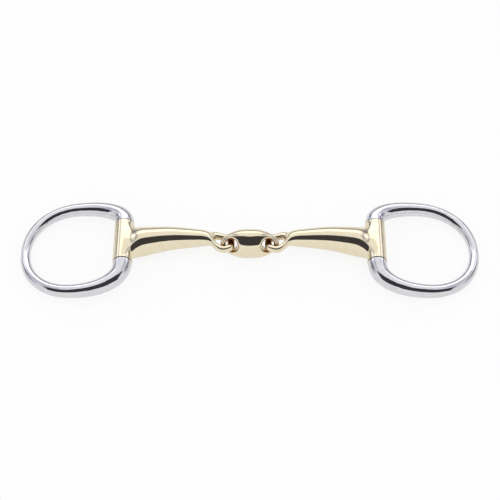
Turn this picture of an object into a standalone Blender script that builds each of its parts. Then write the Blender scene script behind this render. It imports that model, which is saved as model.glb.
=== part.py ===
"""A double-jointed eggbutt snaffle bit: two cheek rings, each turning on a pin through the barrel
of a tapered arm, and a centre link between the eyes of the two arms.

Metres. +X runs along the mouthpiece, +Y along the barrels, +Z is up. The origin is on the surface
that the bit lies on, under the middle of the overall box.
"""

import math

import bmesh
import bpy
from mathutils import Matrix, Vector

# Overall sizes
MOUTH_WIDTH = 0.125  # between the inner sides of the two barrels
BARREL_RADIUS = 0.0053
BARREL_LENGTH = 0.0256
RIM_WIDTH = 0.0009  # the band at each end that stays sharp
BARREL_HEIGHT = 0.0082  # of the barrels' axes above the surface
MOUTH_Y = 0.0024  # of the barrels' and the link's middle, from the middle of the rings

# Fits
PIN_RADIUS = 0.0024
PIN_SIDES = 32
PIN_CLEARANCE = 0.0003  # round the pin, in the barrel and in its sockets
SEAM_GAP = 0.0003  # between a barrel's end and the ring
SOCKET_DEPTH = 0.0045
EYE_PLAY = 0.0010  # between the eye's tip and the link's end at rest

# Cheek ring: the middle line of its bar, from the barrel's axis
RING_REACH = 0.0531  # out to its far side
RING_CROWN = 0.0250  # out to where it is widest
RING_HALF_WIDTH = 0.0277
RING_STUB = 0.0008  # straight part of the bar at the barrel
SHOULDER_BAR_RADIUS = 0.0051
SIDE_BAR_RADIUS = 0.00365
OUTER_BAR_RADIUS = 0.00255
SHOULDER_CURVE = 2.2  # 2 is an ellipse, more is squarer
OUTER_CURVE = 2.12
RING_STEPS = 11  # points on each quarter

# Arm
ARM_RADIUS = 0.0078  # thick end
NECK_RADIUS = 0.0042
ARM_BOW = 0.0037  # of the middle line, away from the straight line between the barrels
BOW_RISE = 1.5  # the bow is full this many times sooner than the eye
ARM_SWELL = 0.0125  # from the barrel's axis to the thick end
ROOT_HALF_WIDTH = 0.0106  # where the arm grows out of the barrel
# Its sections on the way out of the barrel: (from the barrel's axis, half width, half height)
ARM_FLARE = ((0.0042, 0.0101, 0.0057), (0.0065, 0.0090, 0.0069), (0.0092, 0.0083, 0.0078))
ARM_STEPS = 5  # sections from the thick end to the neck
NECK_LENGTH = 0.0035
EYE_BAR_WIDTH = 0.0036
EYE_BAR_HEIGHT = 0.0040
EYE_SPREAD = 0.0096  # between the middle lines of the eye's two sides
EYE_ROLL = math.radians(10)  # the side towards -Y is the higher one
EYE_HOLE_LENGTH = 0.0066
EYE_CROTCH = 0.0007  # from the hole's start to the section where the two sides part

# Centre link, in its own plane
LINK_LENGTH = 0.0308
LINK_WIDTH = 0.0157
LINK_DEPTH = 0.0105
# The faces are crowned: how deep each of the five points across them stands.
LINK_CROWN = (0.52, 0.95, 1.08, 0.95, 0.52)
LINK_WEB_CROWN = (0.44, 0.92, 1.02, 0.92, 0.44)  # in the middle of the link
LINK_HOLE_LENGTH = 0.0058
LINK_HOLE_WIDTH = 0.0064
LINK_HOLE_FLARE = 0.0007  # how much wider a hole is at the two faces, all round
LINK_END_BAR = 0.0027  # between a hole and the link's end
LINK_END_FLAT = 0.0011  # half width of the blunt end
LINK_END_BULGE = 0.0004  # of the blunt end's middle
LINK_WEB_MARGIN = 0.0013  # from a hole's flare to the next section of the web
CAGE_MARGIN = 0.0002  # the end's cage stands this far out of the smoothed end
LINK_HEIGHT = 0.0078  # of its middle above the surface
LINK_ROLL = math.radians(30)

SECTION_SIDES = 8
# A closed cage of n points on a circle smooths to a circle smaller by this share.
ROUND_SHARE = (2 + math.cos(2 * math.pi / SECTION_SIDES)) / 3
SQUARE_SHARE = (2 + math.cos(math.pi / 2)) / 3 * math.sqrt(2)  # of a square bar's half side

HINGE_X = MOUTH_WIDTH / 2 + BARREL_RADIUS
EYE_TIP_X = LINK_LENGTH / 2 - LINK_END_BAR - EYE_PLAY - EYE_BAR_WIDTH / 2
EYE_START_X = EYE_TIP_X + EYE_BAR_WIDTH / 2 + EYE_HOLE_LENGTH  # where its hole starts
BORE_RADIUS = PIN_RADIUS + PIN_CLEARANCE
SHOULDER_Y = BARREL_LENGTH / 2 + SEAM_GAP
# The rings lean outwards until their far sides lie on the surface.
RING_TILT = math.asin((BARREL_HEIGHT - OUTER_BAR_RADIUS) / RING_REACH)
SIDES = {"left": -1, "right": 1}


def clear_scene():
    for obj in list(bpy.data.objects):
        bpy.data.objects.remove(obj)


def collection(name):
    made = bpy.data.collections.new(name)
    bpy.context.scene.collection.children.link(made)
    return made


def material(name, color, roughness):
    made = bpy.data.materials.new(name)
    made.use_nodes = True
    shader = made.node_tree.nodes["Principled BSDF"]
    shader.inputs["Base Color"].default_value = (*color, 1)
    shader.inputs["Roughness"].default_value = roughness
    shader.inputs["Metallic"].default_value = 1
    made.diffuse_color = (*color, 1)
    return made


def add_object(name, data, into, finish, origin):
    obj = bpy.data.objects.new(name, data)
    obj.location = origin
    data.materials.append(finish)
    into.objects.link(obj)
    return obj


def cage_object(name, cage, into, finish, origin, levels):
    """A mesh object from a cage in world coordinates, smoothed by Subdivision Surface."""
    bmesh.ops.translate(cage, vec=-Vector(origin), verts=cage.verts)
    bmesh.ops.recalc_face_normals(cage, faces=cage.faces)
    mesh = bpy.data.meshes.new(name)
    cage.to_mesh(mesh)
    cage.free()
    mesh.shade_smooth()
    obj = add_object(name, mesh, into, finish, origin)
    smooth = obj.modifiers.new("smooth", "SUBSURF")
    smooth.levels = levels
    smooth.render_levels = levels
    return obj


def bridge(cage, first, second):
    """Faces between two closed loops of the same count."""
    for i in range(len(first)):
        j = (i + 1) % len(first)
        cage.faces.new((first[i], first[j], second[j], second[i]))


def crease(cage, loop):
    """Keeps the edges of a closed loop sharp when the cage is smoothed."""
    layer = cage.edges.layers.float.get("crease_edge") or cage.edges.layers.float.new("crease_edge")
    for i in range(len(loop)):
        edge = cage.edges.get((loop[i - 1], loop[i]))
        edge[layer] = 1.0


# ---- Arm -------------------------------------------------------------------------------------


def section_angle(i):
    return 2 * math.pi * (i + 0.5) / SECTION_SIDES


def barrel_loop(cage, side, radius, y):
    """Starts on the mouth side, below the middle, and goes up and round."""
    size = radius / ROUND_SHARE
    loop = []
    for i in range(SECTION_SIDES):
        angle = section_angle(i - SECTION_SIDES // 4)
        x = side * (HINGE_X - size * math.cos(angle))
        loop.append(cage.verts.new((x, MOUTH_Y + y, BARREL_HEIGHT + size * math.sin(angle))))
    return loop


def build_barrel(cage, side):
    """The barrel with its bore. Returns the loop that the arm grows from."""
    end = BARREL_LENGTH / 2
    stations = [-end, RIM_WIDTH - end, -ROOT_HALF_WIDTH, ROOT_HALF_WIDTH, end - RIM_WIDTH, end]
    outer = [barrel_loop(cage, side, BARREL_RADIUS, y) for y in stations]
    inner = [barrel_loop(cage, side, BORE_RADIUS, y) for y in (-end, -end / 3, end / 3, end)]
    for first, second in zip(inner, inner[1:]):
        bridge(cage, first, second)
    for row, (first, second) in enumerate(zip(outer, outer[1:])):
        for i in range(SECTION_SIDES):
            j = (i + 1) % SECTION_SIDES
            covered_by_arm = row == 2 and i < 3
            if not covered_by_arm:
                cage.faces.new((first[i], first[j], second[j], second[i]))
    for whole, bored in ((outer[0], inner[0]), (outer[-1], inner[-1])):
        bridge(cage, whole, bored)
        crease(cage, whole)
        crease(cage, bored)
    near, far = outer[2][:4], outer[3][:4]
    return far + near[::-1]


def arm_loop(cage, x, y, z, half_width, half_height):
    """Starts at the lower corner of the +Y side, goes up, over to -Y and back underneath."""
    loop = []
    for i in range(SECTION_SIDES):
        angle = section_angle(i - SECTION_SIDES // 4)
        across = half_width / ROUND_SHARE * math.cos(angle)
        up = half_height / ROUND_SHARE * math.sin(angle)
        loop.append(cage.verts.new((x, y + across, z + up)))
    return loop


def blend(start, end, share):
    return start + (end - start) * share


def arm_line(x):
    """(y, z) of the arm's middle line at this distance from the centre."""
    neck_x = EYE_START_X + NECK_LENGTH
    if x > neck_x:
        out = (HINGE_X - x) / (HINGE_X - neck_x)
        rise = math.sin(math.pi / 2 * min(1.0, out * BOW_RISE)) ** 2
        return MOUTH_Y + ARM_BOW * rise, blend(BARREL_HEIGHT, LINK_HEIGHT, out)
    fall = max(0.0, (x - LINK_LENGTH / 2) / (neck_x - LINK_LENGTH / 2))
    return MOUTH_Y + ARM_BOW * math.sin(math.pi / 2 * fall) ** 2, LINK_HEIGHT


def build_shank(cage, side, root):
    """The tapered bar from the barrel to the neck. Returns the neck's loop."""
    swell_x = HINGE_X - ARM_SWELL
    neck_x = EYE_START_X + NECK_LENGTH
    loops = [root]
    for away, half_width, half_height in ARM_FLARE:
        y, z = arm_line(HINGE_X - away)
        loops.append(arm_loop(cage, side * (HINGE_X - away), y, z, half_width, half_height))
    for i in range(ARM_STEPS + 1):
        share = i / ARM_STEPS
        x = blend(swell_x, neck_x, share)
        y, z = arm_line(x)
        radius = blend(ARM_RADIUS, NECK_RADIUS, share)
        loops.append(arm_loop(cage, side * x, y, z, radius, radius))
    for first, second in zip(loops, loops[1:]):
        bridge(cage, first, second)
    return loops[-1]


def eye_row(cage, side, x, half_width, half_gap, half_height):
    """Eight points in the order of arm_loop: four on the top, four below."""
    middle = Vector((side * x, *arm_line(x)))
    across = Vector((0, math.cos(EYE_ROLL), -math.sin(EYE_ROLL)))
    up = Vector((0, math.sin(EYE_ROLL), math.cos(EYE_ROLL)))
    widths = (half_width, half_gap, -half_gap, -half_width)
    top = [cage.verts.new(middle + w * across + half_height * up) for w in widths]
    low = [cage.verts.new(middle + w * across - half_height * up) for w in widths[::-1]]
    return [low[3]] + top + low[:3]


def build_eye(cage, side, neck):
    """The eye: rows across it, with its middle left open between the second and the fourth."""
    half_bar = EYE_BAR_WIDTH / 2 / SQUARE_SHARE
    half_height = EYE_BAR_HEIGHT / 2 / SQUARE_SHARE
    gap = EYE_SPREAD / 2 - half_bar
    wide = EYE_SPREAD / 2 + half_bar
    rows = [
        eye_row(cage, side, EYE_START_X + EYE_CROTCH, wide * 1.0, gap * 0.66, half_height * 1.1),
        eye_row(cage, side, EYE_START_X - EYE_HOLE_LENGTH / 2, wide * 1.08, gap * 1.1, half_height),
        eye_row(cage, side, EYE_TIP_X + half_bar, wide * 0.92, gap * 0.88, half_height),
        eye_row(cage, side, EYE_TIP_X - half_bar, gap * 1.4, gap * 0.5, half_height * 0.9),
    ]
    bridge(cage, neck, rows[0])
    open_edges = (2, 6)  # the middle of the top and of the underside
    for first, second in ((rows[0], rows[1]), (rows[1], rows[2]), (rows[2], rows[3])):
        for i in range(SECTION_SIDES):
            j = (i + 1) % SECTION_SIDES
            if i in open_edges and second is not rows[3]:
                continue
            cage.faces.new((first[i], first[j], second[j], second[i]))
    for row in (rows[0], rows[2]):
        cage.faces.new((row[2], row[3], row[6], row[7]))
    for first, second in ((rows[0], rows[1]), (rows[1], rows[2])):
        cage.faces.new((first[2], second[2], second[7], first[7]))
        cage.faces.new((first[3], second[3], second[6], first[6]))
    tip = rows[3]
    cage.faces.new((tip[0], tip[1], tip[2], tip[7]))
    cage.faces.new((tip[7], tip[2], tip[3], tip[6]))
    cage.faces.new((tip[6], tip[3], tip[4], tip[5]))


def build_arm(name, side, into, finish):
    cage = bmesh.new()
    root = build_barrel(cage, side)
    neck = build_shank(cage, side, root)
    build_eye(cage, side, neck)
    origin = (side * EYE_TIP_X, MOUTH_Y, LINK_HEIGHT)
    return cage_object(name, cage, into, finish, origin, levels=1)


# ---- Centre link -----------------------------------------------------------------------------


HOLE_X = LINK_LENGTH / 2 - LINK_END_BAR - LINK_HOLE_LENGTH / 2  # middle of a hole
HOLE_OUTLINE = ((0, 1), (1, 1), (2, 1), (2, 2), (2, 3), (1, 3), (0, 3), (0, 2))


def hole_point(share, widening):
    """(x, w) on a hole's outline, a share of a turn on from its end towards -Y, going to the web."""
    angle = 2 * math.pi * share
    x = (LINK_HOLE_LENGTH / 2 + widening) / ROUND_SHARE * math.cos(angle)
    w = (LINK_HOLE_WIDTH / 2 + widening) / ROUND_SHARE * math.sin(angle)
    return HOLE_X + x, w


def link_stations():
    """End to web: (half width, half depth, x of the edges, x in the middle, w of the inner points)."""
    end = LINK_LENGTH / 2 + CAGE_MARGIN
    half_width = LINK_WIDTH / 2
    half_depth = LINK_DEPTH / 2
    web = HOLE_X - LINK_HOLE_LENGTH / 2 - LINK_HOLE_FLARE - LINK_WEB_MARGIN
    flared = LINK_HOLE_FLARE
    outer_x, outer_w = hole_point(1 / 8, flared)
    middle_x, middle_w = hole_point(1 / 4, flared)
    inner_x, inner_w = hole_point(3 / 8, flared)
    return [
        (half_width * 0.28, half_depth * 0.28, end, end + LINK_END_BULGE, LINK_END_FLAT),
        (half_width * 0.62, half_depth * 0.37, outer_x, hole_point(0, flared)[0], outer_w),
        (half_width * 0.82, half_depth * 0.64, middle_x, middle_x, middle_w),
        (half_width * 0.95, half_depth * 1.04, inner_x, hole_point(1 / 2, flared)[0], inner_w),
        (half_width * 1.03, half_depth * 1.10, web, web - LINK_END_BULGE, inner_w),
    ]


def link_layer(cage, front):
    """The points of one face: columns along the link, each of five points across its width."""
    half = link_stations()
    layer = []
    web = (LINK_WIDTH / 2 * 1.05, LINK_DEPTH / 2 * 1.32, 0.0, 0.0, half[-1][-1])
    for sign, stations in ((-1, half + [web]), (1, half[::-1])):
        for width, depth, x, middle_x, inner in stations:
            places = ((x, -width), (x, -inner), (middle_x, 0.0), (x, inner), (x, width))
            crown = LINK_WEB_CROWN if x == 0 else LINK_CROWN
            column = []
            for share, (px, w) in zip(crown, places):
                column.append(cage.verts.new((sign * px, front * share * depth, w)))
            layer.append(column)
    return layer


def hole_throat(cage, side):
    """The narrow loop in the middle of a hole's depth, in the order of HOLE_OUTLINE."""
    loop = []
    for share in (-1 / 8, -2 / 8, -3 / 8, 4 / 8, 3 / 8, 2 / 8, 1 / 8, 0):
        x, w = hole_point(share, 0.0)
        loop.append(cage.verts.new((side * x, 0, w)))
    if side > 0:  # the outline's columns run towards +X, here from the web to the end
        loop = [loop[i] for i in (2, 1, 0, 7, 6, 5, 4, 3)]
    return loop


def build_link(name, into, finish):
    """A blunt oval with two holes through its broad face, which leans towards -Y."""
    cage = bmesh.new()
    front, back = link_layer(cage, -1), link_layer(cage, 1)
    last = len(front) - 1
    hole_starts = {-1: 1, 1: last - 3}
    hole_columns = [start + i for start in hole_starts.values() for i in (0, 1)]
    for layer in (front, back):
        for i in range(last):
            for row in range(4):
                if row in (1, 2) and i in hole_columns:
                    continue
                near, far = layer[i], layer[i + 1]
                cage.faces.new((near[row], far[row], far[row + 1], near[row + 1]))
    outline = [(i, 0) for i in range(last + 1)] + [(last, row) for row in range(1, 5)]
    outline += [(i, 4) for i in range(last - 1, -1, -1)] + [(0, row) for row in range(3, 0, -1)]
    bridge(cage, [front[i][row] for i, row in outline], [back[i][row] for i, row in outline])
    for side, start in hole_starts.items():
        throat = hole_throat(cage, side)
        for layer in (front, back):
            bridge(cage, [layer[start + i][row] for i, row in HOLE_OUTLINE], throat)
    lean = Matrix.Rotation(-LINK_ROLL, 4, "X")
    middle = (0, MOUTH_Y, LINK_HEIGHT)
    bmesh.ops.transform(cage, matrix=Matrix.Translation(middle) @ lean, verts=cage.verts)
    return cage_object(name, cage, into, finish, middle, levels=2)


# ---- Cheek ring and its pin ------------------------------------------------------------------


def quarter(start, end, curve, turn_first):
    """Points of a quarter of a superellipse. turn_first: it leaves the start along the second axis."""
    points = []
    for i in range(RING_STEPS):
        angle = math.pi / 2 * i / RING_STEPS
        slow = 1 - math.cos(angle) ** (2 / curve)
        quick = math.sin(angle) ** (2 / curve)
        out, along = (slow, quick) if turn_first else (quick, slow)
        points.append((blend(start[0], end[0], out), blend(start[1], end[1], along)))
    return points


def ring_path():
    """(outward, along the barrel, radius) of the bar's middle line, from -Y round to +Y."""
    crown = (RING_CROWN, RING_HALF_WIDTH)
    line = []
    for sign in (-1, 1):
        shoulder = (0.0, sign * SHOULDER_Y)
        rise = (0.0, sign * (SHOULDER_Y + RING_STUB))
        top = (crown[0], -MOUTH_Y + sign * crown[1])
        far = (RING_REACH, -MOUTH_Y)
        first = quarter(rise, top, SHOULDER_CURVE, True)
        second = quarter(top, far, OUTER_CURVE, False)
        half = [(*shoulder, SHOULDER_BAR_RADIUS)]
        for i, point in enumerate(first):
            half.append((*point, blend(SHOULDER_BAR_RADIUS, SIDE_BAR_RADIUS, i / RING_STEPS)))
        for i, point in enumerate(second):
            half.append((*point, blend(SIDE_BAR_RADIUS, OUTER_BAR_RADIUS, i / RING_STEPS)))
        line.append(half)
    return line[0] + [(RING_REACH, -MOUTH_Y, OUTER_BAR_RADIUS)] + line[1][::-1]


def mesh_of(obj):
    """The object's evaluated mesh, with its caps welded on."""
    bpy.context.view_layer.update()
    graph = bpy.context.evaluated_depsgraph_get()
    mesh = bpy.data.meshes.new_from_object(obj.evaluated_get(graph))
    whole = bmesh.new()
    whole.from_mesh(mesh)
    bmesh.ops.remove_doubles(whole, verts=whole.verts, dist=1e-6)
    bmesh.ops.recalc_face_normals(whole, faces=whole.faces)
    whole.to_mesh(mesh)
    whole.free()
    return mesh


def build_ring(name, side, into, cutters, finish):
    path = ring_path()
    curve = bpy.data.curves.new(name + "_bar", "CURVE")
    curve.dimensions = "3D"
    curve.bevel_depth = 1.0
    curve.bevel_resolution = 6
    curve.use_fill_caps = True
    spline = curve.splines.new("POLY")
    spline.points.add(len(path) - 1)
    for point, (out, along, radius) in zip(spline.points, path):
        point.co = (side * out, along, 0, 1)
        point.radius = radius
    bar = bpy.data.objects.new(name + "_bar", curve)
    into.objects.link(bar)
    mesh = mesh_of(bar)
    mesh.name = name
    bpy.data.objects.remove(bar)
    ring = add_object(name, mesh, into, finish, (side * HINGE_X, MOUTH_Y, BARREL_HEIGHT))
    ring.rotation_euler = (0, side * RING_TILT, 0)
    mesh.shade_smooth()
    sockets_length = BARREL_LENGTH + 2 * (SEAM_GAP + SOCKET_DEPTH)
    cutter = cylinder(name + "_sockets", BORE_RADIUS, sockets_length, cutters)
    cutter.location = ring.location
    cutter.hide_render = True
    cutter.display_type = "WIRE"
    cut = ring.modifiers.new("sockets", "BOOLEAN")
    cut.operation = "DIFFERENCE"
    cut.object = cutter
    return ring


def cylinder(name, radius, length, into):
    """A round bar along Y."""
    bar = bmesh.new()
    bmesh.ops.create_cone(
        bar, cap_ends=True, segments=PIN_SIDES, radius1=radius, radius2=radius, depth=length
    )
    bmesh.ops.rotate(bar, matrix=Matrix.Rotation(math.pi / 2, 3, "X"), verts=bar.verts)
    mesh = bpy.data.meshes.new(name)
    bar.to_mesh(mesh)
    bar.free()
    mesh.shade_smooth()
    mesh.set_sharp_from_angle(angle=math.radians(40))
    obj = bpy.data.objects.new(name, mesh)
    into.objects.link(obj)
    return obj


def build_pin(name, side, into, finish):
    length = BARREL_LENGTH + 2 * (SEAM_GAP + SOCKET_DEPTH - PIN_CLEARANCE)
    pin = cylinder(name, PIN_RADIUS, length, into)
    pin.location = (side * HINGE_X, MOUTH_Y, BARREL_HEIGHT)
    pin.data.materials.append(finish)
    return pin


def main():
    clear_scene()
    parts = collection("eggbutt_snaffle")
    cutters = collection("cutters")
    gold = material("golden_copper_alloy", (0.78, 0.62, 0.36), 0.12)
    steel = material("polished_steel", (0.80, 0.80, 0.82), 0.08)
    pin_steel = material("turned_pin_steel", (0.55, 0.55, 0.57), 0.3)
    build_link("centre_link", parts, gold)
    for side_name, side in SIDES.items():
        build_arm(side_name + "_arm", side, parts, gold)
        build_ring(side_name + "_ring", side, parts, cutters, steel)
        build_pin(side_name + "_hinge_pin", side, parts, pin_steel)


main()
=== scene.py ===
"""The looks of a double-jointed snaffle bit: mirror-polished steel cheek rings and a golden
copper-alloy mouthpiece of two arms and a centre link, lying on a frosted table in a white tent.

Metres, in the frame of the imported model: +X along the mouthpiece, +Y along the barrels, +Z up.
"""

import math

import bmesh
import bpy
from mathutils import Matrix, Vector


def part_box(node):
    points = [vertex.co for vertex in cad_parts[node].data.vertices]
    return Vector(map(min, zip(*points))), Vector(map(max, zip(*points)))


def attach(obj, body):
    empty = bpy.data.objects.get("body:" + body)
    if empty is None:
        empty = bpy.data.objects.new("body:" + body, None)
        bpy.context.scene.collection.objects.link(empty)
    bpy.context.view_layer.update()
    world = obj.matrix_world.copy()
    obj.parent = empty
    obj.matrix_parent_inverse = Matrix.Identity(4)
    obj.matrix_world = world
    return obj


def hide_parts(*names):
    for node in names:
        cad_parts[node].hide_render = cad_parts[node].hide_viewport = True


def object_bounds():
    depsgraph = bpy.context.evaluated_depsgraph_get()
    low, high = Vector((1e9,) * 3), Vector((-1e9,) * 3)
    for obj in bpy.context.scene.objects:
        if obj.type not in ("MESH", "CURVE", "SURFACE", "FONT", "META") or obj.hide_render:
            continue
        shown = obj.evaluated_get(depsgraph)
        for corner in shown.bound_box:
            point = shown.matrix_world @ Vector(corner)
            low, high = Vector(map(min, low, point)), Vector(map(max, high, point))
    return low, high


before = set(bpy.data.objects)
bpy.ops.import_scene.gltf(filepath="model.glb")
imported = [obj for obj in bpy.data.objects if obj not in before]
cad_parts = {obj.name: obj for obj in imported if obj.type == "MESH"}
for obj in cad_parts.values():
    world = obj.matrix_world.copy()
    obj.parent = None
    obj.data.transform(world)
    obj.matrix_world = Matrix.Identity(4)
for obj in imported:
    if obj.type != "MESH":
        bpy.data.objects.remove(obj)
cad_low, cad_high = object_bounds()


def middle_of(node):
    low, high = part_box(node)
    return (Vector(low) + Vector(high)) / 2


PIN_MIDDLE = middle_of("right_hinge_pin")
LINK_MIDDLE = middle_of("centre_link")
SIDES = {"left": -1, "right": 1}

# Barrel, on the hinge pin
HINGE_X = PIN_MIDDLE.x
MOUTH_Y = PIN_MIDDLE.y
BARREL_HEIGHT = PIN_MIDDLE.z
BARREL_RADIUS = 0.0053
BARREL_LENGTH = 0.0256
RIM_WIDTH = 0.0009
RIM_CREASE = 0.9  # 1 would keep the rim's edge sharp
# The arm grows out of the first ROOT_FACES faces of the barrel's row ROOT_ROW.
ROOT_ROW = 2
ROOT_FACES = 3
BORE_RADIUS = 0.0027
SEAM_GAP = 0.0003
SOCKET_DEPTH = 0.0045
EDGE_BREAK = 0.00018  # the small chamfer on a ring's cut end

# Cheek ring: the middle line of its bar, from the barrel's axis
RING_REACH = 0.0531
RING_CROWN = 0.0250
RING_HALF_WIDTH = 0.0277
RING_STUB = 0.0008
SHOULDER_BAR_RADIUS = 0.0051
SIDE_BAR_RADIUS = 0.00365
OUTER_BAR_RADIUS = 0.00255
SHOULDER_CURVE = 2.2  # 2 is an ellipse, more is squarer
OUTER_CURVE = 2.12
RING_STEPS = 48  # points on each quarter
BAR_SIDES = 40
SHARP_ANGLE = math.radians(35)  # an edge of the ring that turns more is shaded as an edge
RING_TILT = math.asin((BARREL_HEIGHT - OUTER_BAR_RADIUS) / RING_REACH)
SHOULDER_Y = BARREL_LENGTH / 2 + SEAM_GAP

# Arm
ARM_RADIUS = 0.0078
NECK_RADIUS = 0.0042
ARM_BOW = 0.0037
BOW_RISE = 1.5
ARM_SWELL = 0.0125
ROOT_HALF_WIDTH = 0.0106
# Sections on the way out of the barrel: (from the barrel's axis, half width, half height)
ARM_FLARE = ((0.0042, 0.0101, 0.0057), (0.0065, 0.0090, 0.0069), (0.0092, 0.0083, 0.0078))
ARM_STEPS = 5
NECK_LENGTH = 0.0035
EYE_BAR_WIDTH = 0.0036
EYE_BAR_HEIGHT = 0.0040
EYE_SPREAD = 0.0096
EYE_ROLL = math.radians(10)
EYE_HOLE_LENGTH = 0.0066
EYE_CROTCH = 0.0007
EYE_PLAY = 0.0010
# The eye's rows, from the neck to the tip: shares of its half width, half gap and half height.
# The tip is narrow, so there the first share is of the half gap too.
EYE_ROOT_ROW = (1.0, 0.66, 1.1)
EYE_MIDDLE_ROW = (1.08, 1.1, 1.0)
EYE_CORNER_ROW = (0.92, 0.88, 1.0)
EYE_TIP_ROW = (1.4, 0.5, 0.9)

# Centre link, in its own plane
LINK_LENGTH = 0.0308
LINK_WIDTH = 0.0157
LINK_DEPTH = 0.0105
# Stations from the link's end to its middle: shares of its half width and of its half depth
LINK_STATIONS = ((0.28, 0.28), (0.62, 0.37), (0.82, 0.64), (0.95, 1.04), (1.03, 1.10), (1.05, 1.32))
# The faces are crowned: how deep each of the five points across them stands.
LINK_CROWN = (0.52, 0.95, 1.08, 0.95, 0.52)
LINK_WEB_CROWN = (0.44, 0.92, 1.02, 0.92, 0.44)  # in the middle of the link
LINK_HOLE_LENGTH = 0.0058
LINK_HOLE_WIDTH = 0.0064
LINK_HOLE_FLARE = 0.0007
LINK_END_BAR = 0.0027
LINK_END_FLAT = 0.0011
LINK_END_BULGE = 0.0004
LINK_WEB_MARGIN = 0.0013
CAGE_MARGIN = 0.0002  # the cage's ends stand this far past LINK_LENGTH
LINK_ROLL = math.radians(30)

SMOOTH_LEVELS = 4
SECTION_SIDES = 8
# A closed cage of n points on a circle smooths to a circle smaller by this share.
ROUND_SHARE = (2 + math.cos(2 * math.pi / SECTION_SIDES)) / 3
SQUARE_SHARE = (2 + math.cos(math.pi / 2)) / 3 * math.sqrt(2)  # of a square bar's half side

EYE_TIP_X = LINK_LENGTH / 2 - LINK_END_BAR - EYE_PLAY - EYE_BAR_WIDTH / 2
EYE_START_X = EYE_TIP_X + EYE_BAR_WIDTH / 2 + EYE_HOLE_LENGTH
HOLE_X = LINK_LENGTH / 2 - LINK_END_BAR - LINK_HOLE_LENGTH / 2

# Finish of the gold: sizes in millimetres, depths in metres
GOLD_HAZE_SIZE = 3.5
GOLD_ROUGHNESS = (0.045, 0.085)
GOLD_WAVE_SIZE = 5.0
GOLD_WAVE_DEPTH = 0.00006
BUFFING_SPACING = 0.2
BUFFING_STRETCH = 0.08
BUFFING_DEPTH = 0.0000004
# Painted shade in the hollows: there the gold's colour goes towards a deep orange, and its
# roughness goes up.
CREVICE_REACH = 0.006  # painted shade: gold nearer than 6 mm to other metal is darkened, and made rougher where the buffing wheel can't reach
CREVICE_OPENNESS = (0.70, 0.25)  # the open share where a crevice starts, and where it is full
CREVICE_SHADE_AND_DULLING = 0.85
CREVICE_ROUGHNESS = 0.22

# Finish of the steel
STEEL_HAZE_SIZE = 4.0
STEEL_ROUGHNESS = (0.02, 0.05)
STEEL_WAVE_SIZE = 6.0
STEEL_WAVE_DEPTH = 0.00022
TURNING_PITCH = 0.9425
TURNING_DEPTH = 0.00001
WAVES_PER_UNIT = 20 / (2 * math.pi)  # how often the wave texture repeats at scale 1

# Noise lies mostly inside these, so colours and roughness are spread over them.
TONE_SPREAD = (0.35, 0.65)
HAZE_SPREAD = (0.3, 0.7)

# The sockets of a Mix node that hold colours come after its number and vector ones.
MIX_FIRST = 6
MIX_SECOND = 7
MIX_COLOUR = 2


# ---- Node materials --------------------------------------------------------------------------


def linear(hex_colour):
    """An sRGB hex colour as linear RGBA."""
    values = [int(hex_colour[i : i + 2], 16) / 255 for i in (1, 3, 5)]
    return [v / 12.92 if v <= 0.04045 else ((v + 0.055) / 1.055) ** 2.4 for v in values] + [1.0]


def add_node(tree, kind, settings=None, inputs=None):
    """Adds a node. inputs maps a socket's name or number to a value, or to what feeds it."""
    made = tree.nodes.new(kind)
    for name, value in (settings or {}).items():
        setattr(made, name, value)
    for key, value in (inputs or {}).items():
        if isinstance(value, bpy.types.NodeSocket):
            tree.links.new(value, made.inputs[key])
        else:
            made.inputs[key].default_value = value
    return made


def set_ramp(node, stops):
    """stops: (place, linear colour), in order."""
    stops = list(stops)
    elements = node.color_ramp.elements
    while len(elements) < len(stops):
        elements.new(1.0)
    for element, (place, colour) in zip(elements, stops):
        element.position = place
        element.color = colour


def new_material(name):
    made = bpy.data.materials.new(name)
    made.use_nodes = True
    made.node_tree.nodes.clear()
    return made


def per_metre(millimetres):
    """The scale of a texture whose features are this big."""
    return 1000 / millimetres


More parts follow.
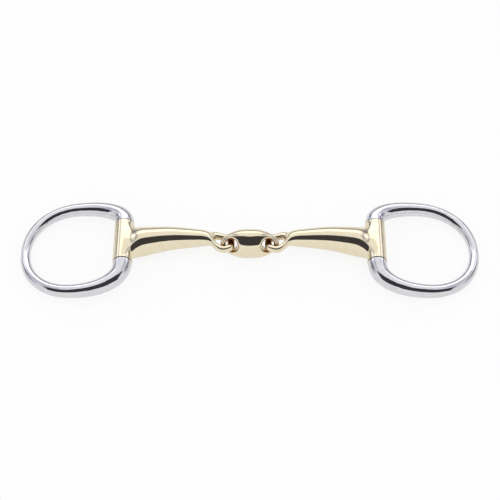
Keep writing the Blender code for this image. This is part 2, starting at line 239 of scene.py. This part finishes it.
def polished_golden_alloy():
    """Cast golden copper alloy, mirror buffed. The eye gets a pale warm mirror with crisp dark
    and white bands, a soft waviness from hand polishing, and, in the eyes and the link's holes,
    a deeper orange that is painted shade, where the metal is also rougher as the buffing wheel
    can't reach."""
    made = new_material("polished golden copper alloy")
    tree = made.node_tree
    place = add_node(tree, "ShaderNodeTexCoord").outputs["Object"]
    haze = add_node(
        tree,
        "ShaderNodeTexNoise",
        None,
        {"Vector": place, "Scale": per_metre(GOLD_HAZE_SIZE), "Detail": 4.0},
    ).outputs["Fac"]
    open_share = add_node(
        tree,
        "ShaderNodeAmbientOcclusion",
        {"samples": 12, "only_local": False},
        {"Distance": CREVICE_REACH},
    ).outputs["AO"]
    # Painted shade: the less open the spot, the more it darkens to deep orange; the same share also
    # roughens it.
    crevice_shade_and_dulling = add_node(
        tree,
        "ShaderNodeMapRange",
        {"interpolation_type": "SMOOTHSTEP"},
        {
            "Value": open_share,
            "From Min": CREVICE_OPENNESS[0],
            "From Max": CREVICE_OPENNESS[1],
            "To Max": CREVICE_SHADE_AND_DULLING,
        },
    ).outputs["Result"]
    tone = add_node(tree, "ShaderNodeValToRGB", None, {"Fac": haze})
    set_ramp(tone, zip(TONE_SPREAD, (linear("#EFE2C2"), linear("#F2E8CE"))))
    # Painted shade in the eyes and holes: the colour is mixed towards a deep orange.
    colour = add_node(
        tree,
        "ShaderNodeMix",
        {"data_type": "RGBA"},
        {"Factor": crevice_shade_and_dulling, MIX_FIRST: tone.outputs["Color"], MIX_SECOND: linear("#A9742E")},
    ).outputs[MIX_COLOUR]
    buffed = add_node(
        tree,
        "ShaderNodeMapRange",
        None,
        {
            "Value": haze,
            "From Min": HAZE_SPREAD[0],
            "From Max": HAZE_SPREAD[1],
            "To Min": GOLD_ROUGHNESS[0],
            "To Max": GOLD_ROUGHNESS[1],
        },
    ).outputs["Result"]
    rough = add_node(
        tree,
        "ShaderNodeMath",
        {"operation": "MULTIPLY_ADD"},
        {0: crevice_shade_and_dulling, 1: CREVICE_ROUGHNESS, 2: buffed},
    ).outputs["Value"]
    # Buffing marks run along the mouthpiece: long in X, and close together across it.
    stretched = add_node(
        tree,
        "ShaderNodeMapping",
        {"vector_type": "POINT"},
        {"Vector": place, "Scale": (BUFFING_STRETCH, 1, 1)},
    ).outputs["Vector"]
    marks = add_node(
        tree,
        "ShaderNodeTexNoise",
        None,
        {"Vector": stretched, "Scale": per_metre(BUFFING_SPACING), "Detail": 2.0},
    ).outputs["Fac"]
    waves = add_node(
        tree,
        "ShaderNodeTexNoise",
        None,
        {"Vector": place, "Scale": per_metre(GOLD_WAVE_SIZE), "Detail": 1.0},
    ).outputs["Fac"]
    wavy = add_node(
        tree,
        "ShaderNodeBump",
        None,
        {"Strength": 1.0, "Distance": GOLD_WAVE_DEPTH, "Height": waves},
    ).outputs["Normal"]
    marked = add_node(
        tree,
        "ShaderNodeBump",
        None,
        {"Strength": 1.0, "Distance": BUFFING_DEPTH, "Height": marks, "Normal": wavy},
    ).outputs["Normal"]
    shader = add_node(
        tree,
        "ShaderNodeBsdfPrincipled",
        None,
        {
            "Base Color": colour,
            "Metallic": 1.0,
            "Roughness": rough,
            "Normal": marked,
        },
    )
    add_node(tree, "ShaderNodeOutputMaterial", None, {"Surface": shader.outputs["BSDF"]})
    return made


def polished_stainless_steel():
    """Forged stainless steel, mirror polished. The eye gets a cool white mirror, black where it
    faces the tent's opening, with edges that wobble a little from hand finishing."""
    made = new_material("mirror polished stainless steel")
    tree = made.node_tree
    place = add_node(tree, "ShaderNodeTexCoord").outputs["Object"]
    haze = add_node(
        tree,
        "ShaderNodeTexNoise",
        None,
        {"Vector": place, "Scale": per_metre(STEEL_HAZE_SIZE), "Detail": 4.0},
    ).outputs["Fac"]
    tone = add_node(tree, "ShaderNodeValToRGB", None, {"Fac": haze})
    set_ramp(tone, zip(TONE_SPREAD, (linear("#DDDDE1"), linear("#E4E4E7"))))
    rough = add_node(
        tree,
        "ShaderNodeMapRange",
        None,
        {
            "Value": haze,
            "From Min": HAZE_SPREAD[0],
            "From Max": HAZE_SPREAD[1],
            "To Min": STEEL_ROUGHNESS[0],
            "To Max": STEEL_ROUGHNESS[1],
        },
    ).outputs["Result"]
    waves = add_node(
        tree,
        "ShaderNodeTexNoise",
        None,
        {"Vector": place, "Scale": per_metre(STEEL_WAVE_SIZE), "Detail": 1.5},
    ).outputs["Fac"]
    wavy = add_node(
        tree,
        "ShaderNodeBump",
        None,
        {"Strength": 1.0, "Distance": STEEL_WAVE_DEPTH, "Height": waves},
    ).outputs["Normal"]
    shader = add_node(
        tree,
        "ShaderNodeBsdfPrincipled",
        None,
        {
            "Base Color": tone.outputs["Color"],
            "Metallic": 1.0,
            "Roughness": rough,
            "Normal": wavy,
        },
    )
    add_node(tree, "ShaderNodeOutputMaterial", None, {"Surface": shader.outputs["BSDF"]})
    return made


def turned_steel():
    """Stainless rod turned on a lathe. The eye gets rings round the pin. Real ones are about
    0.15 mm apart, too fine to show, so they are drawn wider."""
    made = new_material("turned stainless steel")
    tree = made.node_tree
    place = add_node(tree, "ShaderNodeTexCoord").outputs["Object"]
    rings = add_node(
        tree,
        "ShaderNodeTexWave",
        {"bands_direction": "Y"},
        {"Vector": place, "Scale": per_metre(TURNING_PITCH) / WAVES_PER_UNIT, "Distortion": 0.3},
    ).outputs["Fac"]
    cut = add_node(
        tree,
        "ShaderNodeBump",
        None,
        {"Strength": 0.5, "Distance": TURNING_DEPTH, "Height": rings},
    ).outputs["Normal"]
    tone = add_node(tree, "ShaderNodeValToRGB", None, {"Fac": rings})
    set_ramp(tone, [(0.0, linear("#A9A9AE")), (1.0, linear("#C0C0C4"))])
    shader = add_node(
        tree,
        "ShaderNodeBsdfPrincipled",
        None,
        {
            "Base Color": tone.outputs["Color"],
            "Metallic": 1.0,
            "Roughness": 0.28,
            "Normal": cut,
        },
    )
    add_node(tree, "ShaderNodeOutputMaterial", None, {"Surface": shader.outputs["BSDF"]})
    return made


# ---- Mesh cages ------------------------------------------------------------------------------


def link_to_scene(name, mesh, finish):
    mesh.shade_smooth()
    mesh.materials.append(finish)
    obj = bpy.data.objects.new(name, mesh)
    bpy.context.scene.collection.objects.link(obj)
    return obj


def cage_piece(name, cage, finish):
    """A piece from a cage, smoothed by Subdivision Surface."""
    bmesh.ops.recalc_face_normals(cage, faces=cage.faces)
    mesh = bpy.data.meshes.new(name)
    cage.to_mesh(mesh)
    cage.free()
    obj = link_to_scene(name, mesh, finish)
    smooth = obj.modifiers.new("smooth", "SUBSURF")
    smooth.levels = SMOOTH_LEVELS
    smooth.render_levels = SMOOTH_LEVELS
    return obj


def bridge(cage, first, second):
    """Faces between two closed loops of the same count."""
    for i in range(len(first)):
        j = (i + 1) % len(first)
        cage.faces.new((first[i], first[j], second[j], second[i]))


def crease(cage, loop, amount):
    layers = cage.edges.layers.float
    layer = layers.get("crease_edge") or layers.new("crease_edge")
    for i in range(len(loop)):
        edge = cage.edges.get((loop[i - 1], loop[i]))
        edge[layer] = amount


def blend(start, end, share):
    return start + (end - start) * share


# ---- Arm -------------------------------------------------------------------------------------


def section_angle(i):
    return 2 * math.pi * (i + 0.5) / SECTION_SIDES


def barrel_loop(cage, side, radius, y):
    """Starts on the mouth side, below the middle, and goes up and round."""
    size = radius / ROUND_SHARE
    loop = []
    for i in range(SECTION_SIDES):
        angle = section_angle(i - SECTION_SIDES // 4)
        x = side * (HINGE_X - size * math.cos(angle))
        loop.append(cage.verts.new((x, MOUTH_Y + y, BARREL_HEIGHT + size * math.sin(angle))))
    return loop


def build_barrel(cage, side):
    """The barrel with its bore. Returns the loop that the arm grows from."""
    end = BARREL_LENGTH / 2
    stations = [-end, RIM_WIDTH - end, -ROOT_HALF_WIDTH, ROOT_HALF_WIDTH, end - RIM_WIDTH, end]
    outer = [barrel_loop(cage, side, BARREL_RADIUS, y) for y in stations]
    inner = [barrel_loop(cage, side, BORE_RADIUS, y) for y in (-end, -end / 3, end / 3, end)]
    for first, second in zip(inner, inner[1:]):
        bridge(cage, first, second)
    for row, (first, second) in enumerate(zip(outer, outer[1:])):
        for i in range(SECTION_SIDES):
            j = (i + 1) % SECTION_SIDES
            covered_by_arm = row == ROOT_ROW and i < ROOT_FACES
            if not covered_by_arm:
                cage.faces.new((first[i], first[j], second[j], second[i]))
    for whole, bored in ((outer[0], inner[0]), (outer[-1], inner[-1])):
        bridge(cage, whole, bored)
        crease(cage, whole, RIM_CREASE)
        crease(cage, bored, 1.0)
    near, far = (loop[: ROOT_FACES + 1] for loop in outer[ROOT_ROW : ROOT_ROW + 2])
    return far + near[::-1]


def arm_loop(cage, x, y, z, half_width, half_height):
    """Starts underneath, just on the +Y side, goes up, over to -Y and back underneath."""
    loop = []
    for i in range(SECTION_SIDES):
        angle = section_angle(i - SECTION_SIDES // 4)
        across = half_width / ROUND_SHARE * math.cos(angle)
        up = half_height / ROUND_SHARE * math.sin(angle)
        loop.append(cage.verts.new((x, y + across, z + up)))
    return loop


def arm_line(x):
    """(y, z) of the arm's middle line at this distance from the centre."""
    neck_x = EYE_START_X + NECK_LENGTH
    if x > neck_x:
        out = (HINGE_X - x) / (HINGE_X - neck_x)
        rise = math.sin(math.pi / 2 * min(1.0, out * BOW_RISE)) ** 2
        return MOUTH_Y + ARM_BOW * rise, blend(BARREL_HEIGHT, LINK_MIDDLE.z, out)
    fall = max(0.0, (x - LINK_LENGTH / 2) / (neck_x - LINK_LENGTH / 2))
    return MOUTH_Y + ARM_BOW * math.sin(math.pi / 2 * fall) ** 2, LINK_MIDDLE.z


def build_shank(cage, side, root):
    """The tapered bar from the barrel to the neck. Returns the neck's loop."""
    swell_x = HINGE_X - ARM_SWELL
    neck_x = EYE_START_X + NECK_LENGTH
    loops = [root]
    for away, half_width, half_height in ARM_FLARE:
        y, z = arm_line(HINGE_X - away)
        loops.append(arm_loop(cage, side * (HINGE_X - away), y, z, half_width, half_height))
    for i in range(ARM_STEPS + 1):
        share = i / ARM_STEPS
        x = blend(swell_x, neck_x, share)
        y, z = arm_line(x)
        radius = blend(ARM_RADIUS, NECK_RADIUS, share)
        loops.append(arm_loop(cage, side * x, y, z, radius, radius))
    for first, second in zip(loops, loops[1:]):
        bridge(cage, first, second)
    return loops[-1]


def eye_row(cage, side, x, half_width, half_gap, half_height):
    """Starts at the lower +Y corner: then four points on the top, and the rest below."""
    middle = Vector((side * x, *arm_line(x)))
    across = Vector((0, math.cos(EYE_ROLL), -math.sin(EYE_ROLL)))
    up = Vector((0, math.sin(EYE_ROLL), math.cos(EYE_ROLL)))
    widths = (half_width, half_gap, -half_gap, -half_width)
    top = [cage.verts.new(middle + w * across + half_height * up) for w in widths]
    low = [cage.verts.new(middle + w * across - half_height * up) for w in widths[::-1]]
    return [low[3]] + top + low[:3]


def build_eye(cage, side, neck):
    """The eye: four rows across it, with its middle left open from the first to the third."""
    half_bar = EYE_BAR_WIDTH / 2 / SQUARE_SHARE
    half_height = EYE_BAR_HEIGHT / 2 / SQUARE_SHARE
    gap = EYE_SPREAD / 2 - half_bar
    wide = EYE_SPREAD / 2 + half_bar
    rows = []
    for x, half_width, (width_share, gap_share, height_share) in (
        (EYE_START_X + EYE_CROTCH, wide, EYE_ROOT_ROW),
        (EYE_START_X - EYE_HOLE_LENGTH / 2, wide, EYE_MIDDLE_ROW),
        (EYE_TIP_X + half_bar, wide, EYE_CORNER_ROW),
        (EYE_TIP_X - half_bar, gap, EYE_TIP_ROW),
    ):
        width = half_width * width_share
        rows.append(eye_row(cage, side, x, width, gap * gap_share, half_height * height_share))
    bridge(cage, neck, rows[0])
    open_edges = (2, 6)  # the middle of the top and of the underside
    for first, second in ((rows[0], rows[1]), (rows[1], rows[2]), (rows[2], rows[3])):
        for i in range(SECTION_SIDES):
            j = (i + 1) % SECTION_SIDES
            if i in open_edges and second is not rows[3]:
                continue
            cage.faces.new((first[i], first[j], second[j], second[i]))
    for row in (rows[0], rows[2]):
        cage.faces.new((row[2], row[3], row[6], row[7]))
    for first, second in ((rows[0], rows[1]), (rows[1], rows[2])):
        cage.faces.new((first[2], second[2], second[7], first[7]))
        cage.faces.new((first[3], second[3], second[6], first[6]))
    tip = rows[3]
    cage.faces.new((tip[0], tip[1], tip[2], tip[7]))
    cage.faces.new((tip[7], tip[2], tip[3], tip[6]))
    cage.faces.new((tip[6], tip[3], tip[4], tip[5]))


def build_arm(name, side, finish):
    cage = bmesh.new()
    root = build_barrel(cage, side)
    neck = build_shank(cage, side, root)
    build_eye(cage, side, neck)
    return cage_piece(name, cage, finish)


# ---- Centre link -----------------------------------------------------------------------------

HOLE_OUTLINE = ((0, 1), (1, 1), (2, 1), (2, 2), (2, 3), (1, 3), (0, 3), (0, 2))


def hole_point(share, widening):
    """(x, w) on a hole's outline, a share of a turn on from its end, going to the web."""
    angle = 2 * math.pi * share
    x = (LINK_HOLE_LENGTH / 2 + widening) / ROUND_SHARE * math.cos(angle)
    w = (LINK_HOLE_WIDTH / 2 + widening) / ROUND_SHARE * math.sin(angle)
    return HOLE_X + x, w


def link_stations():
    """From the end to the middle: half width, half depth, x of the edges, x between them, and
    w of the inner points."""
    end = LINK_LENGTH / 2 + CAGE_MARGIN
    web = HOLE_X - LINK_HOLE_LENGTH / 2 - LINK_HOLE_FLARE - LINK_WEB_MARGIN
    flared = LINK_HOLE_FLARE
    outer_x, outer_w = hole_point(1 / 8, flared)
    middle_x, middle_w = hole_point(1 / 4, flared)
    inner_x, inner_w = hole_point(3 / 8, flared)
    places = (
        (end, end + LINK_END_BULGE, LINK_END_FLAT),
        (outer_x, hole_point(0, flared)[0], outer_w),
        (middle_x, middle_x, middle_w),
        (inner_x, hole_point(1 / 2, flared)[0], inner_w),
        (web, web - LINK_END_BULGE, inner_w),
        (0.0, 0.0, inner_w),
    )
    return [
        (LINK_WIDTH / 2 * width, LINK_DEPTH / 2 * depth, *place)
        for (width, depth), place in zip(LINK_STATIONS, places)
    ]


def link_layer(cage, front):
    """The points of one face: columns along the link, each of five points across its width."""
    to_middle = link_stations()
    to_end = to_middle[-2::-1]  # without the middle
    layer = []
    for sign, stations in ((-1, to_middle), (1, to_end)):
        for width, depth, x, middle_x, inner in stations:
            places = ((x, -width), (x, -inner), (middle_x, 0.0), (x, inner), (x, width))
            crown = LINK_WEB_CROWN if x == 0 else LINK_CROWN
            column = []
            for share, (px, w) in zip(crown, places):
                column.append(cage.verts.new((sign * px, front * share * depth, w)))
            layer.append(column)
    return layer


def hole_throat(cage, side):
    """The narrow loop in the middle of a hole's depth, in the order of HOLE_OUTLINE."""
    loop = []
    for share in (-1 / 8, -2 / 8, -3 / 8, 4 / 8, 3 / 8, 2 / 8, 1 / 8, 0):
        x, w = hole_point(share, 0.0)
        loop.append(cage.verts.new((side * x, 0, w)))
    if side > 0:  # the outline's columns run towards +X, here from the web to the end
        loop = [loop[i] for i in (2, 1, 0, 7, 6, 5, 4, 3)]
    return loop


def build_link(name, finish):
    """A blunt oval with two holes through its broad face, which leans towards -Y."""
    cage = bmesh.new()
    front, back = link_layer(cage, -1), link_layer(cage, 1)
    last = len(front) - 1
    hole_starts = {-1: 1, 1: last - 3}
    hole_columns = [start + i for start in hole_starts.values() for i in (0, 1)]
    for layer in (front, back):
        for i in range(last):
            for row in range(4):
                if row in (1, 2) and i in hole_columns:
                    continue
                near, far = layer[i], layer[i + 1]
                cage.faces.new((near[row], far[row], far[row + 1], near[row + 1]))
    outline = [(i, 0) for i in range(last + 1)] + [(last, row) for row in range(1, 5)]
    outline += [(i, 4) for i in range(last - 1, -1, -1)] + [(0, row) for row in range(3, 0, -1)]
    bridge(cage, [front[i][row] for i, row in outline], [back[i][row] for i, row in outline])
    for side, start in hole_starts.items():
        throat = hole_throat(cage, side)
        for layer in (front, back):
            bridge(cage, [layer[start + i][row] for i, row in HOLE_OUTLINE], throat)
    lean = Matrix.Rotation(-LINK_ROLL, 4, "X")
    place = Matrix.Translation((0, MOUTH_Y, LINK_MIDDLE.z)) @ lean
    bmesh.ops.transform(cage, matrix=place, verts=cage.verts)
    return cage_piece(name, cage, finish)


# ---- Cheek ring ------------------------------------------------------------------------------


def quarter(start, end, curve, turn_first):
    """A quarter of a superellipse. turn_first: it leaves the start along the second axis."""
    points = []
    for i in range(RING_STEPS):
        angle = math.pi / 2 * i / RING_STEPS
        slow = 1 - math.cos(angle) ** (2 / curve)
        quick = math.sin(angle) ** (2 / curve)
        out, along = (slow, quick) if turn_first else (quick, slow)
        points.append((blend(start[0], end[0], out), blend(start[1], end[1], along)))
    return points


def ring_path():
    """(outward, along the barrel, radius) of the bar's middle line, from -Y round to +Y."""
    line = []
    for sign in (-1, 1):
        shoulder = (0.0, sign * (SHOULDER_Y + EDGE_BREAK))
        rise = (0.0, sign * (SHOULDER_Y + RING_STUB))
        top = (RING_CROWN, -MOUTH_Y + sign * RING_HALF_WIDTH)
        far = (RING_REACH, -MOUTH_Y)
        half = [(*shoulder, SHOULDER_BAR_RADIUS)]
        for i, point in enumerate(quarter(rise, top, SHOULDER_CURVE, True)):
            half.append((*point, blend(SHOULDER_BAR_RADIUS, SIDE_BAR_RADIUS, i / RING_STEPS)))
        for i, point in enumerate(quarter(top, far, OUTER_CURVE, False)):
            half.append((*point, blend(SIDE_BAR_RADIUS, OUTER_BAR_RADIUS, i / RING_STEPS)))
        line.append(half)
    return line[0] + [(RING_REACH, -MOUTH_Y, OUTER_BAR_RADIUS)] + line[1][::-1]


def bar_loop(bar, side, out, along, radius, across):
    """A circle round the bar's middle line. across is the unit vector out of the opening."""
    loop = []
    for i in range(BAR_SIDES):
        angle = 2 * math.pi * i / BAR_SIDES
        wide = radius * math.cos(angle)
        x = side * (out + across.x * wide)
        loop.append(bar.verts.new((x, along + across.y * wide, radius * math.sin(angle))))
    return loop


def build_ring(name, side, finish):
    bar = bmesh.new()
    path = ring_path()
    loops = []
    for i, (out, along, radius) in enumerate(path):
        before, after = path[max(i - 1, 0)], path[min(i + 1, len(path) - 1)]
        run = Vector((after[0] - before[0], after[1] - before[1])).normalized()
        loops.append(bar_loop(bar, side, out, along, radius, Vector((run.y, -run.x))))
    for first, second in zip(loops, loops[1:]):
        bridge(bar, first, second)
    socket = (
        (SHOULDER_Y, SHOULDER_BAR_RADIUS - EDGE_BREAK),
        (SHOULDER_Y, BORE_RADIUS + EDGE_BREAK),
        (SHOULDER_Y + EDGE_BREAK, BORE_RADIUS),
        (SHOULDER_Y + SOCKET_DEPTH, BORE_RADIUS),
    )
    for sign, previous in ((-1, loops[0]), (1, loops[-1])):
        for along, radius in socket:
            # The bar starts along +Y at one end and comes back along it at the other.
            inner = bar_loop(bar, side, 0.0, sign * along, radius, Vector((sign, 0)))
            bridge(bar, previous, inner)
            previous = inner
        bar.faces.new(previous)
    bmesh.ops.recalc_face_normals(bar, faces=bar.faces)
    place = Matrix.Translation((side * HINGE_X, MOUTH_Y, BARREL_HEIGHT))
    tilt = Matrix.Rotation(side * RING_TILT, 4, "Y")
    bmesh.ops.transform(bar, matrix=place @ tilt, verts=bar.verts)
    mesh = bpy.data.meshes.new(name)
    bar.to_mesh(mesh)
    bar.free()
    obj = link_to_scene(name, mesh, finish)
    mesh.set_sharp_from_angle(angle=SHARP_ANGLE)
    return obj


# ---- Pieces ----------------------------------------------------------------------------------

gold = polished_golden_alloy()
steel = polished_stainless_steel()
pin_steel = turned_steel()

link = build_link("mouth_link", gold)
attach(link, "link")
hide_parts("centre_link")

for side_name, side in SIDES.items():
    arm = build_arm(side_name + "_mouth_arm", side, gold)
    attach(arm, side_name + "_arm_body")
    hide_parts(side_name + "_arm")

    ring = build_ring(side_name + "_cheek_ring", side, steel)
    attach(ring, side_name + "_cheek")
    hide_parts(side_name + "_ring")

    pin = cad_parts[side_name + "_hinge_pin"]
    pin.data.materials.clear()
    pin.data.materials.append(pin_steel)


# ---- Table, light and camera -----------------------------------------------------------------

TABLE_HALF_SIZE = 3.0
TABLE_GRAIN_SIZE = 1.0  # millimetres
TABLE_ROUGHNESS = (0.75, 0.9)
# How much of the table lets the white room below it through, to the camera and to mirrors. The
# rest is lit, and so keeps the object's shadow. An arm or ring folded below the table still shows.
CLEAR_SHARE = 0.88


def frosted_acrylic():
    """Frosted white acrylic, mostly clear over the white tent. The eye gets paper white, with a
    faint shadow."""
    made = new_material("frosted white acrylic")
    tree = made.node_tree
    place = add_node(tree, "ShaderNodeTexCoord").outputs["Object"]
    grain = add_node(
        tree,
        "ShaderNodeTexNoise",
        None,
        {"Vector": place, "Scale": per_metre(TABLE_GRAIN_SIZE), "Detail": 3.0},
    ).outputs["Fac"]
    rough = add_node(
        tree,
        "ShaderNodeMapRange",
        None,
        {"Value": grain, "To Min": TABLE_ROUGHNESS[0], "To Max": TABLE_ROUGHNESS[1]},
    ).outputs["Result"]
    lit = add_node(
        tree,
        "ShaderNodeBsdfPrincipled",
        None,
        {"Base Color": linear("#F4F4F4"), "Roughness": rough},
    )
    plain = add_node(tree, "ShaderNodeBsdfTransparent", None, {"Color": linear("#FFFFFF")})
    ray = add_node(tree, "ShaderNodeLightPath")
    seen = add_node(
        tree,
        "ShaderNodeMath",
        {"operation": "MAXIMUM"},
        {0: ray.outputs["Is Camera Ray"], 1: ray.outputs["Is Glossy Ray"]},
    ).outputs["Value"]
    seen = add_node(
        tree,
        "ShaderNodeMath",
        {"operation": "MAXIMUM"},
        {0: seen, 1: ray.outputs["Is Transmission Ray"]},
    ).outputs["Value"]
    share = add_node(
        tree, "ShaderNodeMath", {"operation": "MULTIPLY"}, {0: seen, 1: CLEAR_SHARE}
    ).outputs["Value"]
    mixed = add_node(
        tree,
        "ShaderNodeMixShader",
        None,
        {0: share, 1: lit.outputs["BSDF"], 2: plain.outputs["BSDF"]},
    )
    add_node(tree, "ShaderNodeOutputMaterial", None, {"Surface": mixed.outputs["Shader"]})
    return made


def build_table():
    top = bmesh.new()
    bmesh.ops.create_grid(top, x_segments=8, y_segments=8, size=TABLE_HALF_SIZE)
    bmesh.ops.translate(top, vec=(0, 0, cad_low.z), verts=top.verts)
    mesh = bpy.data.meshes.new("table_top")
    top.to_mesh(mesh)
    top.free()
    table = link_to_scene("table_top", mesh, frosted_acrylic())


# What a mirror sees of the tent, by the angle over the front edge of the table: front cloth, dark
# opening, overhead cloth, the lamp strip over it and the back cloth.
OPENING_DARK = linear("#3C3C42")
LAMP_STRIP = [1.5, 1.5, 1.5, 1.0]
TENT_ARCH = (
    (0, linear("#F2F2F2")),
    (29, linear("#F8F8F8")),
    (32, OPENING_DARK),
    (83, OPENING_DARK),
    (88, linear("#F6F6FA")),
    (127.9, linear("#FAFAFA")),
    (128.5, LAMP_STRIP),
    (150, LAMP_STRIP),
    (158, linear("#B4B4BA")),
)
# The same, by how far the ray points sideways, from 0 to 1: the end cloths are in shade, with a
# dark gap where each meets the overhead cloth.
END_CLOTHS = (
    (0.30, linear("#FFFFFF")),
    (0.44, linear("#E6E6EC")),
    (0.55, linear("#A6A6B4")),
    (0.64, linear("#F0F0F4")),
    (0.78, linear("#DADAE2")),
    (0.92, linear("#8E8E9A")),
)
OPENING_END = (0.76, 0.82)  # sideways, where the opening closes
BACK_START = (-0.3, 0.3)  # along Y, where the end cloths' shade comes in
LOW_START = (0.0, 0.1)  # and along Z


def build_room():
    """A white tent, open and dark on the camera's side. Only mirrors see its cloths: to every
    other ray it is plain white."""
    world = bpy.data.worlds.new("white tent")
    bpy.context.scene.world = world
    world.use_nodes = True
    tree = world.node_tree
    tree.nodes.clear()
    way = add_node(tree, "ShaderNodeTexCoord").outputs["Generated"]
    parts = add_node(tree, "ShaderNodeSeparateXYZ", None, {"Vector": way})
    front = add_node(
        tree, "ShaderNodeMath", {"operation": "MULTIPLY"}, {0: parts.outputs["Y"], 1: -1.0}
    ).outputs["Value"]
    height = add_node(
        tree, "ShaderNodeMath", {"operation": "ARCTAN2"}, {0: parts.outputs["Z"], 1: front}
    ).outputs["Value"]
    half_turns = add_node(
        tree, "ShaderNodeMath", {"operation": "DIVIDE", "use_clamp": True}, {0: height, 1: math.pi}
    ).outputs["Value"]
    arch = add_node(tree, "ShaderNodeValToRGB", None, {"Fac": half_turns})
    set_ramp(arch, [(degrees / 180, colour) for degrees, colour in TENT_ARCH])
    sideways = add_node(
        tree, "ShaderNodeMath", {"operation": "ABSOLUTE"}, {0: parts.outputs["X"]}
    ).outputs["Value"]
    beside = add_node(
        tree,
        "ShaderNodeMapRange",
        {"interpolation_type": "SMOOTHSTEP"},
        {"Value": sideways, "From Min": OPENING_END[0], "From Max": OPENING_END[1]},
    ).outputs["Result"]
    walls = add_node(
        tree,
        "ShaderNodeMix",
        {"data_type": "RGBA"},
        {"Factor": beside, MIX_FIRST: arch.outputs["Color"], MIX_SECOND: linear("#F0F0F2")},
    ).outputs[MIX_COLOUR]
    ends = add_node(tree, "ShaderNodeValToRGB", None, {"Fac": sideways})
    set_ramp(ends, END_CLOTHS)
    behind = add_node(
        tree,
        "ShaderNodeMapRange",
        {"interpolation_type": "SMOOTHSTEP"},
        {"Value": parts.outputs["Y"], "From Min": BACK_START[0], "From Max": BACK_START[1]},
    ).outputs["Result"]
    above = add_node(
        tree,
        "ShaderNodeMapRange",
        {"interpolation_type": "SMOOTHSTEP"},
        {"Value": parts.outputs["Z"], "From Min": LOW_START[0], "From Max": LOW_START[1]},
    ).outputs["Result"]
    upper = add_node(
        tree, "ShaderNodeMath", {"operation": "MULTIPLY"}, {0: behind, 1: above}
    ).outputs["Value"]
    shaded = add_node(
        tree,
        "ShaderNodeMix",
        {"data_type": "RGBA", "blend_type": "MULTIPLY"},
        {"Factor": upper, MIX_FIRST: walls, MIX_SECOND: ends.outputs["Color"]},
    ).outputs[MIX_COLOUR]
    mirrored = add_node(tree, "ShaderNodeBackground", None, {"Color": shaded})
    lighting = add_node(tree, "ShaderNodeBackground", None, {"Color": linear("#FFFFFF")})
    ray = add_node(tree, "ShaderNodeLightPath")
    seen = add_node(
        tree,
        "ShaderNodeMixShader",
        None,
        {
            0: ray.outputs["Is Glossy Ray"],
            1: lighting.outputs["Background"],
            2: mirrored.outputs["Background"],
        },
    )
    add_node(tree, "ShaderNodeOutputWorld", None, {"Surface": seen.outputs["Shader"]})


VIEW_HEIGHT = math.radians(52)  # of the camera over the table
VIEW_DISTANCE = 0.823
VIEW_TARGET = Vector((0.00013, -0.00052, 0.00592))
LENS_MM = 110.4
SENSOR_MM = 36.0
NEAREST_SEEN = 0.01


def build_camera():
    camera = bpy.data.cameras.new("camera")
    camera.lens = LENS_MM
    camera.sensor_width = SENSOR_MM
    camera.clip_start = NEAREST_SEEN
    obj = bpy.data.objects.new("camera", camera)
    bpy.context.scene.collection.objects.link(obj)
    back = Vector((0, -math.cos(VIEW_HEIGHT), math.sin(VIEW_HEIGHT)))
    obj.location = VIEW_TARGET + back * VIEW_DISTANCE
    obj.rotation_euler = (math.pi / 2 - VIEW_HEIGHT, 0, 0)
    bpy.context.scene.camera = obj


build_table()
build_room()
build_camera()
bpy.context.scene.view_settings.view_transform = "Standard"
